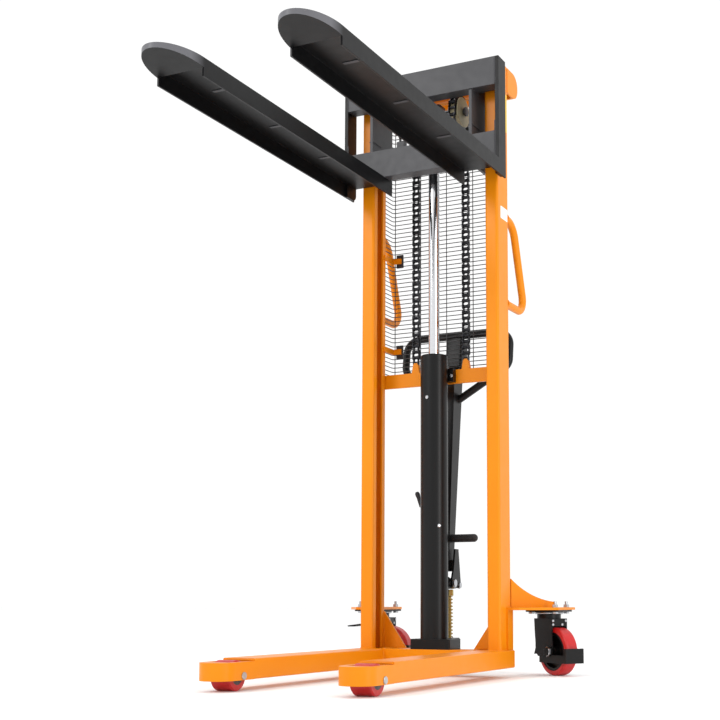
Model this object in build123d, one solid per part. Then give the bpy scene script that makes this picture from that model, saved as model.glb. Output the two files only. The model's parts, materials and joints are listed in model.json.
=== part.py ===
from build123d import *

import os
from math import radians, tan

# Hand-pumped hydraulic pallet stacker, in millimetres. +Z is up, the forks point to -Y and the
# operator stands at +Y. Sizes are worked out from the mast: X = 0 and Y = 0 are the middle of its
# cross-section, and Z = 0 is the floor. save() then moves every piece by mast_y, which puts the
# origin at the middle of the whole footprint.

# Forks and lift
fork_half_spread = 275.0
fork_width = 147.0
fork_plate = 6.0
fork_wall = 5.0
fork_depth = 49.0
fork_nose_depth = 27.0
fork_nose_length = 127.0
fork_tip_depth = 14.0
fork_reach = 1217.0
fork_top = 1604.0
fork_top_lowered = 92.0
fork_step = 1.0
rod_travel = (fork_top - fork_top_lowered) / 2

# Mast uprights: lipped channels that face each other
mast_half_width = 243.0
mast_depth = 90.0
mast_flange = 44.0
mast_wall = 6.0
mast_slot = 40.0
mast_corner = 8.0
mast_top = 1962.0
mast_rear = mast_depth / 2

# Straddle legs and their load wheels
leg_outer = 257.0
leg_width = 100.0
leg_bottom = 29.0
leg_top = 83.0
leg_rear = 45.0
leg_heel_radius = 10.0
leg_wall = 5.0
leg_tube_front = -775.0
leg_tip = -915.0
nose_top = 76.0
nose_wall = 6.0
nose_top_plate = 5.0
load_wheel_y = -824.0
load_wheel_radius = 40.0
load_wheel_width = 60.0
load_core_radius = 24.0
load_axle_radius = 10.0

# Carriage
carriage_face = -110.0
side_plate = 12.0
side_plate_rear = -52.0
beam_height = 91.0
beam_depth = 46.0
beam_wall = 8.0
carriage_top = 1936.0
roller_plate_inner = 172.0
roller_plate_thick = 10.0
roller_plate_rear = 34.0
roller_radius = 38.5
roller_inner = 207.0
roller_outer = 235.0
roller_axle_radius = 15.0
roller_heights = {"lower": 1650.0, "upper": 1890.0}

# Hydraulic cylinder, rod and lifting chains
tank_radius = 44.0
tank_wall = 4.0
bore_radius = 22.0
bore_wall = 5.0
tank_bottom = 115.0
gland_bottom = 998.0
gland_top = 1020.0
rod_radius = 18.0
rod_bottom = 916.0
piston_length = 40.0
head_bottom = 1780.0
head_top = 1852.0
wheel_z = 1820.0
wheel_flange_radius = 48.0
wheel_root_radius = 43.7
wheel_width = 34.0
wheel_x = 90.0
wheel_axle_radius = 10.0
chain_width = 26.0
chain_thick = 16.0
chain_y = 52.0
crossbar_bottom = 933.0
crossbar_top = 979.0
crossbar_thick = 8.0
lug_top = 1012.0
carriage_lug_top = 1730.0

# Tiller, pump and release lever
pivot_y = 72.0
pivot_z = 290.0
tiller_lean = 7.0
tiller_foot_y = 86.5
column_radius = 17.0
cheek_inner = 28.0
cheek_thick = 6.0
pin_radius = 8.0
push_roller_y = 118.0
push_roller_z = 284.0
push_roller_radius = 12.0
plunger_y = 115.0
plunger_top = 270.0
plunger_bottom = 92.0
plunger_radius = 6.0
loop_half_width = 190.0
loop_top = 1122.0
loop_shoulder = 1006.0
loop_foot = 890.0
loop_radius = 12.5
pump_housing_bottom = 58.0
release_y = 62.0
release_z = 98.0

# Mesh guard and side grips
mesh_y = 100.0
mesh_half_width = 202.0
mesh_wire = 3.0
mesh_bottom = 984.0
mesh_top = 1870.0
mesh_pitch = 14.5
grip_x = 231.0
grip_radius = 12.5
tube_wall = 2.5

# Swivel casters: trail directions at rest are angles from +X
caster_x = 309.0
caster_y = 204.0
caster_trail = 45.0
caster_radius = 75.0
caster_core_radius = 60.0
tyre_half_width = 22.0
caster_axle_radius = 8.0
bracket_bottom = 205.0
bracket_top = 213.0
bracket_rear = 282.0
caster_plate_bottom = 199.0
race_bottom = 191.5
rest_angle = {"left": 3.0, "right": -33.0}

running_gap = 0.05
SIGN = {"left": -1, "right": 1}
mast_y = (fork_reach - bracket_rear) / 2


def block(x, y, z):
    """A box from three (low, high) pairs."""
    size = [high - low for low, high in (x, y, z)]
    middle = [(high + low) / 2 for low, high in (x, y, z)]
    return Pos(*middle) * Box(*size)


def bar_x(radius, x, y, z):
    """A round bar along X, from x[0] to x[1]."""
    return Pos((x[0] + x[1]) / 2, y, z) * Rot(0, 90, 0) * Cylinder(radius, x[1] - x[0])


def bar_z(radius, x, y, z):
    """A round bar along Z, from z[0] to z[1]."""
    return Pos(x, y, (z[0] + z[1]) / 2) * Cylinder(radius, z[1] - z[0])


def plate_yz(points, x):
    """A flat plate in the YZ plane between x[0] and x[1], from (y, z) corners."""
    face = Plane.YZ.offset(x[0]) * make_face(Polyline(*points, close=True))
    return extrude(face, x[1] - x[0], dir=(1, 0, 0))


def plate_xz(points, y):
    """A flat plate in the XZ plane between y[0] and y[1], from (x, z) corners."""
    corners = [(px, y[0], pz) for px, pz in points]
    return extrude(make_face(Polyline(*corners, close=True)), y[1] - y[0], dir=(0, 1, 0))


def plate_xy(points, z):
    """A flat plate in the XY plane between z[0] and z[1], from (x, y) corners."""
    corners = [(px, py, z[0]) for px, py in points]
    return extrude(make_face(Polyline(*corners, close=True)), z[1] - z[0], dir=(0, 0, 1))


def hex_head(across, height, x, y, z):
    """A hexagon head along Z, standing on z."""
    face = Plane((x, y, z)) * RegularPolygon(across / 2, 6, major_radius=False)
    return extrude(face, height)


def bent_tube(points, radius, bends, wall=None):
    """A tube, or a solid rod with no wall given, along straight runs joined by tangent arcs."""
    path = FilletPolyline(*points, radius=bends)
    start = Plane(origin=path @ 0, z_dir=path % 0)
    section = Circle(radius) - Circle(radius - wall) if wall else Circle(radius)
    return sweep(start * section, path=path)


def to_side(shape, side):
    """A piece drawn on the right, or its mirror image on the left."""
    return shape if side == "right" else mirror(shape, about=Plane.YZ)


def save(name, *pieces):
    """Write one node, moved from the mast's axes to the row's."""
    solids = [solid for piece in pieces for solid in piece.solids()]
    whole = solids[0] if len(solids) == 1 else Compound(children=solids)
    export_step(Pos(0, mast_y, 0) * whole, f"parts/{name}.step")


# ---------------------------------------------------------------- frame


def upright():
    middle = mast_half_width - mast_flange / 2
    outer = Pos(middle, 0) * RectangleRounded(mast_flange, mast_depth, mast_corner)
    inner = Pos(middle, 0) * RectangleRounded(
        mast_flange - 2 * mast_wall, mast_depth - 2 * mast_wall, mast_corner - mast_wall
    )
    slot = Pos(middle - mast_flange / 2, 0) * Rectangle(4 * mast_wall, mast_slot)
    return extrude(Plane.XY.offset(leg_top) * (outer - inner - slot), mast_top - leg_top)


def top_beam():
    """A folded cross-beam behind the uprights, open below, with a cheek at each end."""
    height, depth, wall, cheek, bend = 83.0, 90.0, 5.0, 6.0, 40.0
    middle = (mast_rear + depth / 2, mast_top - height / 2)

    def section(inset):
        sheet = Rectangle(depth - inset, height - 2 * inset)
        rear = sheet.vertices().sort_by(Axis.X)[-2:]
        return Pos(middle[0] - inset / 2, middle[1]) * fillet(rear, bend - inset)

    width = 2 * mast_half_width
    start = Plane.YZ.offset(-mast_half_width)
    shell = extrude(start * (section(0) - section(wall)), width)
    cheeks = extrude(start * section(0), cheek) + extrude(
        Plane.YZ.offset(mast_half_width - cheek) * section(0), cheek
    )
    bottom = mast_top - height
    mouth = block(
        (-mast_half_width + cheek, mast_half_width - cheek),
        (mast_rear + wall, mast_rear + depth - bend),
        (bottom - 1, bottom + wall + 1),
    )
    return shell + cheeks - mouth


def crossbar():
    """The flat bar behind the uprights that holds the fixed ends of both chains."""
    y = (mast_rear + 1, mast_rear + 1 + crossbar_thick)
    bar = block((-mast_half_width + 8, mast_half_width - 8), y, (crossbar_bottom, crossbar_top))
    for sign in SIGN.values():
        x = sign * wheel_x
        foot_z, neck_z = crossbar_bottom + 12, crossbar_top
        outline = [
            (x - 14, foot_z), (x + 14, foot_z), (x + 14, neck_z), (x + 8, lug_top),
            (x - 8, lug_top), (x - 14, neck_z),
        ]
        bar += plate_xz(outline, (y[0], chain_y + chain_thick / 2))
        foot = sorted((sign * (mast_half_width - 36), sign * (mast_half_width - 12)))
        bar += block(foot, (mast_rear, y[0]), (crossbar_bottom, crossbar_top))
    return bar


def base_crossmember():
    """The box between the legs, with a triangular gusset up to each upright."""
    half = leg_outer - leg_width
    outer = block((-half, half), (-mast_rear, leg_rear), (leg_bottom, leg_top))
    inner = block(
        (-half, half),
        (-mast_rear + leg_wall, leg_rear - leg_wall),
        (leg_bottom + leg_wall, leg_top - leg_wall),
    )
    return outer - inner + foot_gusset() + mirror(foot_gusset(), about=Plane.YZ)


def leg():
    """A straddle leg on the right: hollow tube, rounded open nose and wheel slot."""
    x = (leg_outer - leg_width, leg_outer)
    middle = leg_outer - leg_width / 2
    tube = block(x, (leg_tube_front, leg_rear), (leg_bottom, leg_top))
    heel = tube.edges().filter_by(Axis.Z).group_by(Axis.Y)[-1].sort_by(Axis.X)[-1]
    tube = fillet(heel, leg_heel_radius)
    tube = fillet(tube.edges().filter_by(Axis.Y), 4)
    core = block(
        (x[0] + leg_wall, x[1] - leg_wall),
        (leg_tube_front - 1, leg_rear - leg_wall),
        (leg_bottom + leg_wall, leg_top - leg_wall),
    )
    length = leg_tube_front - leg_tip
    tip = leg_width / 2

    def plan(inset):
        sheet = Rectangle(leg_width - 2 * inset, length - inset)
        front = sheet.vertices().sort_by(Axis.Y)[:2]
        return Pos(middle, leg_tip + inset + (length - inset) / 2) * fillet(front, tip - inset - 1)

    nose = extrude(Plane.XY.offset(leg_bottom) * plan(0), nose_top - leg_bottom)
    pocket_top = nose_top - nose_top_plate - leg_bottom
    nose -= extrude(Plane.XY.offset(leg_bottom) * plan(nose_wall), pocket_top)
    half = load_wheel_width / 2 + 5
    slot_front = load_wheel_y - load_wheel_radius - 6
    slot_rear = load_wheel_y + load_wheel_radius + 6
    nose -= block((middle - half, middle + half), (slot_front, slot_rear), (nose_top - 8, nose_top + 8))
    hole = bar_x(load_axle_radius + running_gap, (x[0] - 1, x[1] + 1), load_wheel_y, load_wheel_radius)
    return (tube - core + nose) - hole


def foot_gusset():
    x = mast_half_width - mast_flange
    corners = [(x, leg_top), (x - 80, leg_top), (x, leg_top + 117)]
    return plate_xz(corners, (mast_rear - 7, mast_rear))


def caster_bracket():
    """A horizontal plate outside the upright, with a curved gusset above and a web below."""
    x = mast_half_width
    corners = [
        (x, 5), (x + 42, 5), (x + 127, 125), (x + 127, bracket_rear),
        (x + 15, bracket_rear), (x - 28, mast_rear), (x, mast_rear),
    ]
    shelf = plate_xy(corners, (bracket_bottom, bracket_top))
    shelf -= bolt_group(5.5, bracket_bottom - 1, bracket_top + 1)
    web = block((x, x + 6), (5, mast_rear), (leg_top, bracket_bottom))
    length, rise, tip = 172.0, 89.0, 18.0
    low, high = bracket_top, bracket_top + rise
    sweep_edge = ThreePointArc((0, high), (length * 0.42, low + 44), (length, low + tip))
    outline = Polyline((length, low + tip), (length, low), (0, low), (0, high))
    face = make_face(Plane.XZ * Curve(children=[sweep_edge, outline]))
    gusset = Pos(0, 4, 0) * extrude(face, 8)
    return shelf + web + Pos(x + 3, mast_rear, 0) * Rot(0, 0, 60) * gusset


def side_grip():
    top, bottom = 1458.0, 1178.0
    points = [
        (grip_x, mast_rear, top), (grip_x, 112, top), (grip_x, 212, bottom),
        (grip_x, mast_rear, bottom),
    ]
    return bent_tube(points, grip_radius, [70, 42], tube_wall)


def mesh_guard():
    """Welded wire panel behind the uprights with a short return on each side."""
    half, wire = mesh_half_width, mesh_wire
    rows = int((mesh_top - mesh_bottom) / mesh_pitch) + 1
    back = (mesh_y - wire / 2, mesh_y + wire / 2)
    wires = []
    for row in range(rows):
        z = mesh_bottom + row * mesh_pitch
        span = (z - wire / 2, z + wire / 2)
        wires.append(block((-half - wire / 2, half + wire / 2), back, span))
        for sign in SIGN.values():
            x = sorted((sign * half - wire / 2, sign * half + wire / 2))
            wires.append(block(x, (mast_rear, mesh_y), span))
    last = mesh_bottom + (rows - 1) * mesh_pitch
    for column in range(-2, 3):
        x = column * half / 2
        tall = (mesh_bottom - 4, last + 4)
        wires.append(block((x - wire / 2, x + wire / 2), back, tall))
    return wires[0].fuse(*wires[1:])


def mesh_tabs():
    """Four small angles on the uprights that carry the mesh."""
    inner = mast_half_width - mast_flange
    tabs = []
    for z in (1040.0, 1352.0):
        arm = block((inner - 6, inner), (mast_rear - 20, mesh_y - 8), (z + 16, z + 34))
        ear = block((inner - 34, inner), (mesh_y - 12, mesh_y - 8), (z + 16, z + 34))
        tabs.append(arm + ear)
    return tabs


def mesh_pads():
    inner = mast_half_width - mast_flange
    x, y = (inner - 38, inner - 14), (mesh_y - 8, mesh_y - mesh_wire / 2)
    return [block(x, y, (z + 3, z + 47)) for z in (1040.0, 1352.0)]


# ---------------------------------------------------------------- cylinder and pump


def cylinder_barrel():
    """The oil tank, the pressure tube inside it and the ears that carry the tiller."""
    tall = (tank_bottom, gland_bottom)
    tank = bar_z(tank_radius, 0, 0, tall) - bar_z(tank_radius - tank_wall, 0, 0, tall)
    tube = bar_z(bore_radius + bore_wall, 0, 0, tall) - bar_z(bore_radius, 0, 0, tall)
    outline = [
        (tank_radius - 5, pivot_z - 24), (pivot_y + 6, pivot_z - 14),
        (pivot_y + 14, pivot_z), (pivot_y + 6, pivot_z + 14), (tank_radius - 5, pivot_z + 24),
    ]
    hole = bar_x(pin_radius + running_gap, (-40, 40), pivot_y, pivot_z)
    inside = bar_z(tank_radius - tank_wall / 2, 0, 0, tall)
    for sign in SIGN.values():
        x = sorted((sign * 14, sign * 24))
        tank += plate_yz(outline, x) - inside - hole
    return [tank, tube]


def cylinder_gland():
    ring = bar_z(tank_radius, 0, 0, (gland_bottom, gland_top))
    ring = chamfer(ring.edges().group_by(Axis.Z)[-1], 3)
    return ring - bar_z(rod_radius + running_gap, 0, 0, (gland_bottom - 1, gland_top + 1))


def cylinder_clamps():
    """Two saddles between the tank and the crossbar."""
    span = (crossbar_bottom + 4, crossbar_top)
    cut = bar_z(tank_radius + 0.2, 0, 0, (span[0] - 1, span[1] + 1))
    y = (24, mast_rear + 1)
    return [block((28, 56), y, span) - cut, block((-56, -28), y, span) - cut]


def pump_block():
    """The casting under the tank, with the pump and release valve housed behind it."""
    body = block((-64, 72), (-mast_rear, mast_rear), (leg_top, tank_bottom))
    body = fillet(body.edges().filter_by(Axis.Z), 6)
    rear = block((-25, 25), (mast_rear - 10, 138), (leg_top, tank_bottom))
    drop = block((-25, 25), (leg_rear + 1, 138), (pump_housing_bottom, leg_top))
    valve = block((-48, -24), (leg_rear + 5, 78), (leg_top, tank_bottom - 2))
    pin = bar_x(5, (-78, -48), release_y, release_z)
    bore = bar_z(plunger_radius + running_gap, 0, plunger_y, (pump_housing_bottom + 5, tank_bottom + 1))
    return body + rear + drop + valve + pin - bore


def pump_spring():
    """The plunger's return spring: a wire helix between the housing and the cap."""
    wire, radius, turns = 3.0, 10.0, 12
    low, high = tank_bottom + wire / 2 + 0.2, plunger_top - 20 - wire / 2 - 0.2
    coil = Helix(pitch=(high - low) / turns, height=high - low, radius=radius)
    start = Plane(origin=coil @ 0, z_dir=coil % 0)
    return Pos(0, plunger_y, low) * sweep(start * Circle(wire / 2), path=coil, is_frenet=True)


def pump_plunger():
    stem = bar_z(plunger_radius, 0, plunger_y, (plunger_bottom, plunger_top - 5))
    cap = bar_z(13, 0, plunger_y, (plunger_top - 20, plunger_top))
    return stem + chamfer(cap.edges().group_by(Axis.Z)[-1], 2)


def release_lever():
    """A bent rod beside the tank, on a hub that turns about X."""
    hub = bar_x(11, (-72, -52), release_y, release_z) - bar_x(
        5 + running_gap, (-80, -40), release_y, release_z
    )
    points = [(-64, release_y, release_z + 8), (-64, release_y, 505), (-90, release_y, 580)]
    return hub + bent_tube(points, 5, [60])


# ---------------------------------------------------------------- rod and carriage


def piston_rod():
    rod = bar_z(rod_radius, 0, 0, (rod_bottom, head_bottom))
    piston = bar_z(bore_radius - 0.3, 0, 0, (rod_bottom - piston_length, rod_bottom))
    return rod + piston


def rod_head():
    """The yoke on top of the rod, with the axle of both chain wheels."""
    yoke = block((-32, 32), (-26, 26), (head_bottom, head_top))
    yoke = fillet(yoke.edges().filter_by(Axis.Z), 8)
    reach = wheel_x + wheel_width / 2 + 12
    axle = bar_x(wheel_axle_radius, (-reach, reach), 0, wheel_z)
    for sign in SIGN.values():
        collar = sorted((sign * (reach - 7), sign * (reach - 1)))
        spacer = sorted((sign * 32, sign * (wheel_x - wheel_width / 2 - 1)))
        axle += bar_x(15, collar, 0, wheel_z) + bar_x(15, spacer, 0, wheel_z)
    return yoke + axle


def chain_wheels():
    wheels = []
    for sign in SIGN.values():
        x = sign * wheel_x
        half = wheel_width / 2
        wheel = bar_x(wheel_root_radius, (x - half, x + half), 0, wheel_z)
        for edge in (x - half, x + half - 3):
            wheel += bar_x(wheel_flange_radius, (edge, edge + 3), 0, wheel_z)
        wheels.append(wheel - bar_x(wheel_axle_radius + running_gap, (x - 30, x + 30), 0, wheel_z))
    return wheels


def chain_wraps():
    """The half turn of chain over each wheel."""
    wraps = []
    for sign in SIGN.values():
        x = sign * wheel_x
        span = (x - chain_width / 2, x + chain_width / 2)
        ring = bar_x(chain_y + chain_thick / 2, span, 0, wheel_z)
        ring -= bar_x(chain_y - chain_thick / 2, span, 0, wheel_z)
        wraps.append(ring & block(span, (-80, 80), (wheel_z, wheel_z + 80)))
    return wraps


def chain_strand(y, z):
    x = (wheel_x - chain_width / 2, wheel_x + chain_width / 2)
    return block(x, (y - chain_thick / 2, y + chain_thick / 2), z)


def carriage_beam(bottom):
    """A channel across the carriage, open to the rear."""
    half = fork_half_spread - side_plate
    rear = carriage_face + beam_depth
    outer = block((-half, half), (carriage_face, rear), (bottom, bottom + beam_height))
    inner = block(
        (-half, half),
        (carriage_face + beam_wall, rear + 1),
        (bottom + beam_wall, bottom + beam_height - beam_wall),
    )
    return outer - inner


def lower_beam():
    beam = carriage_beam(fork_top - fork_step)
    rear = carriage_face + beam_depth
    for sign in SIGN.values():
        x = sorted((sign * (wheel_x - 13), sign * (wheel_x + 13)))
        beam += block(x, (rear - 4, rear + 18), (fork_top + 30, carriage_lug_top))
    return beam


def roller_plate():
    """The upright plate that carries two guide rollers, let in between the beams."""
    x = (roller_plate_inner, roller_plate_inner + roller_plate_thick)
    rear = carriage_face + beam_depth
    low, high = fork_top - fork_step + beam_height, carriage_top - beam_height
    corners = [
        (rear, fork_top - fork_step), (roller_plate_rear, fork_top - fork_step),
        (roller_plate_rear, carriage_top),
        (rear, carriage_top), (rear, high), (carriage_face + 4, high),
        (carriage_face + 4, low), (rear, low),
    ]
    return plate_yz(corners, x)


def roller_axles():
    axles = []
    for sign in SIGN.values():
        for z in roller_heights.values():
            x = sorted((sign * (roller_plate_inner + roller_plate_thick), sign * (roller_outer + 1)))
            axles.append(bar_x(roller_axle_radius, x, 0, z))
    return axles


def guide_rollers(z):
    rollers = []
    for sign in SIGN.values():
        x = sorted((sign * roller_inner, sign * roller_outer))
        roller = bar_x(roller_radius, x, 0, z)
        roller = chamfer(roller.edges().filter_by(GeomType.CIRCLE), 2)
        rollers.append(roller - bar_x(roller_axle_radius + running_gap, (x[0] - 1, x[1] + 1), 0, z))
    return rollers


def fork():
    """A fork on the right: pressed channel, thin rounded nose and a tall outer plate."""
    inner_x, outer_x = fork_half_spread - fork_width, fork_half_spread
    middle = fork_half_spread - fork_width / 2
    nose_start = fork_nose_length - fork_reach
    bottom = fork_top - fork_depth
    channel = block((inner_x, outer_x), (nose_start, side_plate_rear), (bottom, fork_top))
    channel -= block(
        (inner_x + fork_wall, outer_x - fork_wall),
        (nose_start - 1, side_plate_rear + 1),
        (bottom - 1, fork_top - fork_plate),
    )

    def nose_shape(inset, low, high):
        """Half an ellipse in plan, with an underside that rises to the tip."""
        outline = Ellipse(fork_width / 2 - inset, fork_nose_length - inset)
        outline &= Pos(0, -fork_nose_length / 2) * Rectangle(fork_width, fork_nose_length)
        shape = extrude(Plane((middle, nose_start, low)) * outline, high - low)
        heel_z = fork_top - fork_nose_depth + inset
        tip_z = fork_top - fork_tip_depth + inset
        under = [
            (nose_start + 1, low - 1), (nose_start + 1, heel_z),
            (-fork_reach - 1, tip_z), (-fork_reach - 1, low - 1),
        ]
        return shape - plate_yz(under, (inner_x - 1, outer_x + 1))

    nose_bottom = fork_top - fork_nose_depth
    nose = nose_shape(0, nose_bottom, fork_top)
    nose -= nose_shape(fork_wall, nose_bottom, fork_top - fork_plate)
    plate = block(
        (outer_x - side_plate, outer_x), (carriage_face, side_plate_rear), (bottom, carriage_top)
    )
    heel = plate.edges().filter_by(Axis.X).sort_by(lambda edge: edge.center().Y - edge.center().Z)[-1]
    seat = block(
        (inner_x - 1, outer_x - side_plate), (carriage_face, side_plate_rear + 1),
        (fork_top - fork_step, fork_top + 1),
    )
    return channel + nose + fillet(heel, 20) - seat


# ---------------------------------------------------------------- wheels


def load_wheel_parts():
    """Tread, core and axle of the load wheel on the right."""
    middle = leg_outer - leg_width / 2
    span = (middle - load_wheel_width / 2, middle + load_wheel_width / 2)
    tread = bar_x(load_wheel_radius, span, load_wheel_y, load_wheel_radius)
    tread = chamfer(tread.edges().filter_by(GeomType.CIRCLE), 3)
    tread -= bar_x(load_core_radius, (span[0] - 1, span[1] + 1), load_wheel_y, load_wheel_radius)
    hub = (span[0] - 4, span[1] + 4)
    core = bar_x(load_core_radius, span, load_wheel_y, load_wheel_radius)
    core += bar_x(load_axle_radius + 5, hub, load_wheel_y, load_wheel_radius)
    core -= bar_x(load_axle_radius + running_gap, (hub[0] - 1, hub[1] + 1), load_wheel_y, load_wheel_radius)
    ends = (leg_outer - leg_width - 3, leg_outer + 3)
    axle = bar_x(load_axle_radius, ends, load_wheel_y, load_wheel_radius)
    return tread, core, chamfer(axle.edges().filter_by(GeomType.CIRCLE), 1)


def bolt_group(radius, low, high):
    """Four bolts, or their holes, through the right caster's top plate."""
    return Part(
        children=[
            bar_z(radius, caster_x + dx, caster_y + dy, (low, high))
            for dx in (-40, 40)
            for dy in (-52.5, 52.5)
        ]
    )


def caster_plate():
    """The caster's fixed top plate and the upper race of its swivel bearing."""
    plate = block(
        (caster_x - 55, caster_x + 55), (caster_y - 72, caster_y + 72), (caster_plate_bottom, bracket_bottom)
    )
    plate = fillet(plate.edges().filter_by(Axis.Z), 10)
    race = bar_z(44, caster_x, caster_y, (race_bottom, caster_plate_bottom))
    return plate + race - bolt_group(5.5, caster_plate_bottom - 1, bracket_bottom + 1)


def caster_bolts():
    """Bolts with a head below the plate and a nut above the bracket."""
    bolts = []
    for dx in (-40, 40):
        for dy in (-52.5, 52.5):
            x, y = caster_x + dx, caster_y + dy
            shank = bar_z(5, x, y, (caster_plate_bottom - 6, bracket_top + 19))
            head = hex_head(17, 6, x, y, caster_plate_bottom - 6)
            nut = hex_head(17, 9, x, y, bracket_top)
            bolts.append(shank + head + nut)
    return bolts


def place_caster(shape, side):
    """Turn a piece drawn with its trail along +X about the swivel axis at (0, 0)."""
    x = SIGN[side] * caster_x
    return Pos(x, caster_y, 0) * Rot(0, 0, rest_angle[side]) * shape


def bar_y(radius, x, y, z):
    """A round bar along Y, from y[0] to y[1]."""
    return Pos(x, (y[0] + y[1]) / 2, z) * Rot(90, 0, 0) * Cylinder(radius, y[1] - y[0])


def caster_fork():
    """Crown, two cheeks and the wheel's axle, drawn at the swivel axis."""
    cheek_in, cheek_out, crown_top = 26.0, 31.0, 191.0
    crown = bar_z(38, 0, 0, (crown_top - 13, crown_top))
    roof = block((-38, 48), (-cheek_out, cheek_out), (crown_top - 19, crown_top - 13))
    hood = block((48, 53), (-cheek_out, cheek_out), (154, crown_top - 13))
    z = caster_radius
    outline = [
        (-38, crown_top - 16), (-36, 140), (-30, z - 4), (-20, z - 16),
        (caster_trail + 10, z - 16), (caster_trail + 14, z + 6), (53, 130), (53, crown_top - 16),
    ]
    cheeks = plate_xz(outline, (-cheek_out, -cheek_in)) + plate_xz(outline, (cheek_in, cheek_out))
    axle = bar_y(caster_axle_radius, caster_trail, (-44, 44), z)
    for y in (-42, 42):
        axle += bar_y(13, caster_trail, (y - 5, y + 5), z)
    return crown + roof + hood + cheeks + axle


def caster_guard():
    """A toe guard: a strap from the axle, round behind the tyre and back."""
    inner, outer, end, thick = 31.2, 35.2, 126.0, 4.0
    low, high, bumper_high = 40.0, 65.0, 86.0
    strap = block((-7, end + thick), (-outer, outer), (low, bumper_high))
    strap -= block((-8, end), (-inner, inner), (low - 1, bumper_high + 1))
    strap -= block((-8, end - 8), (-outer - 1, outer + 1), (high, bumper_high + 1))
    hole = bar_y(caster_axle_radius + 0.1, caster_trail, (-outer - 1, outer + 1), caster_radius)
    for y in ((-outer, -inner), (inner, outer)):
        strap += bar_y(16, caster_trail, y, caster_radius - 2)
    return strap - hole


def caster_core():
    """The wheel's core: rim, web and hub."""
    z, x, half = caster_radius, caster_trail, tyre_half_width
    rim = bar_y(caster_core_radius, x, (-half + 2, half - 2), z)
    rim -= bar_y(caster_core_radius - 9, x, (-half, half), z)
    web = bar_y(caster_core_radius - 8, x, (-5, 5), z)
    hub = bar_y(18, x, (-half - 3, half + 3), z)
    return rim + web + hub - bar_y(caster_axle_radius + running_gap, x, (-half - 5, half + 5), z)


def caster_tyre():
    z, x, half = caster_radius, caster_trail, tyre_half_width
    tread = bar_y(caster_radius, x, (-half, half), z)
    tread = fillet(tread.edges().filter_by(GeomType.CIRCLE), 7)
    return tread - bar_y(caster_core_radius, x, (-half - 1, half + 1), z)


def caster_brake(side):
    """A pedal on a pin with a shoe for the tyre: held out on the left, hanging on the right."""
    pin_x, pin_z, reach = -41.0, 150.0, 106.0
    out = [(-reach, 146), (-reach, 150), (pin_x, 158), (pin_x, 152), (-reach + 24, 146)]
    hanging = [
        (pin_x, 158), (pin_x - 11, 152), (pin_x - 8, 120), (pin_x - 8, 84), (pin_x - 16, 64),
        (pin_x - 3, 66), (pin_x, 92),
    ]
    pedal = plate_xz(out if side == "left" else hanging, (-19, 19))
    hub = bar_y(5, pin_x, (-24, 24), pin_z)
    arm = plate_xz([(pin_x - 4, 92), (pin_x + 3, 92), (pin_x + 3, pin_z), (pin_x - 4, pin_z)], (-16, 16))
    shoe = block((pin_x + 3, pin_x + 8), (-18, 18), (92, 118))
    return pedal + hub + arm + shoe


# ---------------------------------------------------------------- tiller


def lean_y(z):
    """Where the leaning column's axis is at a height."""
    return tiller_foot_y + (z - pivot_z) * tan(radians(tiller_lean))


def column_shape(inset):
    """The column seen from the side: deepest below the handle, and slim at the foot."""
    depths = [(pivot_z + 44, 17), (pivot_z + 130, 24), (940, 48), (1008, 22), (loop_top - 10, 17)]
    front = [(lean_y(z) - depth + inset, z) for z, depth in depths]
    low, high = depths[0][0], depths[-1][0]
    rear = [(lean_y(z) + column_radius - inset, z) for z in (high, low)]
    return plate_yz(front + rear, (-column_radius + inset, column_radius - inset))


def tiller_column():
    """Tapered column, cross block and two cheeks that hang on the pivot pin."""
    z = pivot_z
    hollow = block((-30, 30), (0, 300), (z + 90, loop_top - 20))
    column = column_shape(0) - (column_shape(3) & hollow)
    block_x = (-cheek_inner, cheek_inner)
    foot = block(block_x, (lean_y(z + 56) - 18, lean_y(z + 56) + 18), (z + 38, z + 74))
    outline = [
        (pivot_y - 13, z + 4), (pivot_y - 9, z - 11), (pivot_y + 4, z - 13),
        (push_roller_y + 6, push_roller_z - 11), (push_roller_y + 12, push_roller_z + 4),
        (lean_y(z + 110) + 12, z + 110), (lean_y(z + 110) - 12, z + 110), (pivot_y + 2, z + 40),
    ]
    for sign in SIGN.values():
        x = sorted((sign * cheek_inner, sign * (cheek_inner + cheek_thick)))
        column += plate_yz(outline, x)
    column += foot
    column -= bar_x(pin_radius + running_gap, (-40, 40), pivot_y, z)
    return column - bar_x(pin_radius - 2, (-40, 40), push_roller_y, push_roller_z)


def pivot_pin():
    pin = bar_x(pin_radius, (-42, 42), pivot_y, pivot_z)
    return pin + bar_x(12, (-42, -36), pivot_y, pivot_z) + bar_x(12, (36, 42), pivot_y, pivot_z)


def push_roller():
    """The roller that presses the plunger, with its bolt through both cheeks."""
    roller = bar_x(push_roller_radius, (-20, 20), push_roller_y, push_roller_z)
    bolt = bar_x(pin_radius - 2, (-36, 36), push_roller_y, push_roller_z)
    for x in ((-39, -34), (34, 39)):
        bolt += bar_x(9, x, push_roller_y, push_roller_z)
    return roller + bolt


def tiller_loop():
    """The closed handle loop: a top bar, two sides and two braces down to the column."""
    half = loop_half_width
    near = 5.0
    near_z = loop_foot + near * (loop_shoulder - loop_foot) / half
    flat = [
        (near, near_z), (half, loop_shoulder), (half, loop_top),
        (-half, loop_top), (-half, loop_shoulder), (-near, near_z),
    ]
    points = [(x, lean_y(z), z) for x, z in flat]
    tube = bent_tube(points, loop_radius, [38, 48, 48, 38])
    return tube - column_shape(0)


def control_box():
    """The finger-control housing on top of the column."""
    low, high = 1008.0, 1104.0
    middle = (low + high) / 2
    case = Box(60, 52, high - low)
    case = fillet(case.edges().filter_by(Axis.Z), 8)
    case = Pos(0, lean_y(middle) - 4, middle) * Rot(-tiller_lean, 0, 0) * case
    return case - column_shape(0)


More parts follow.
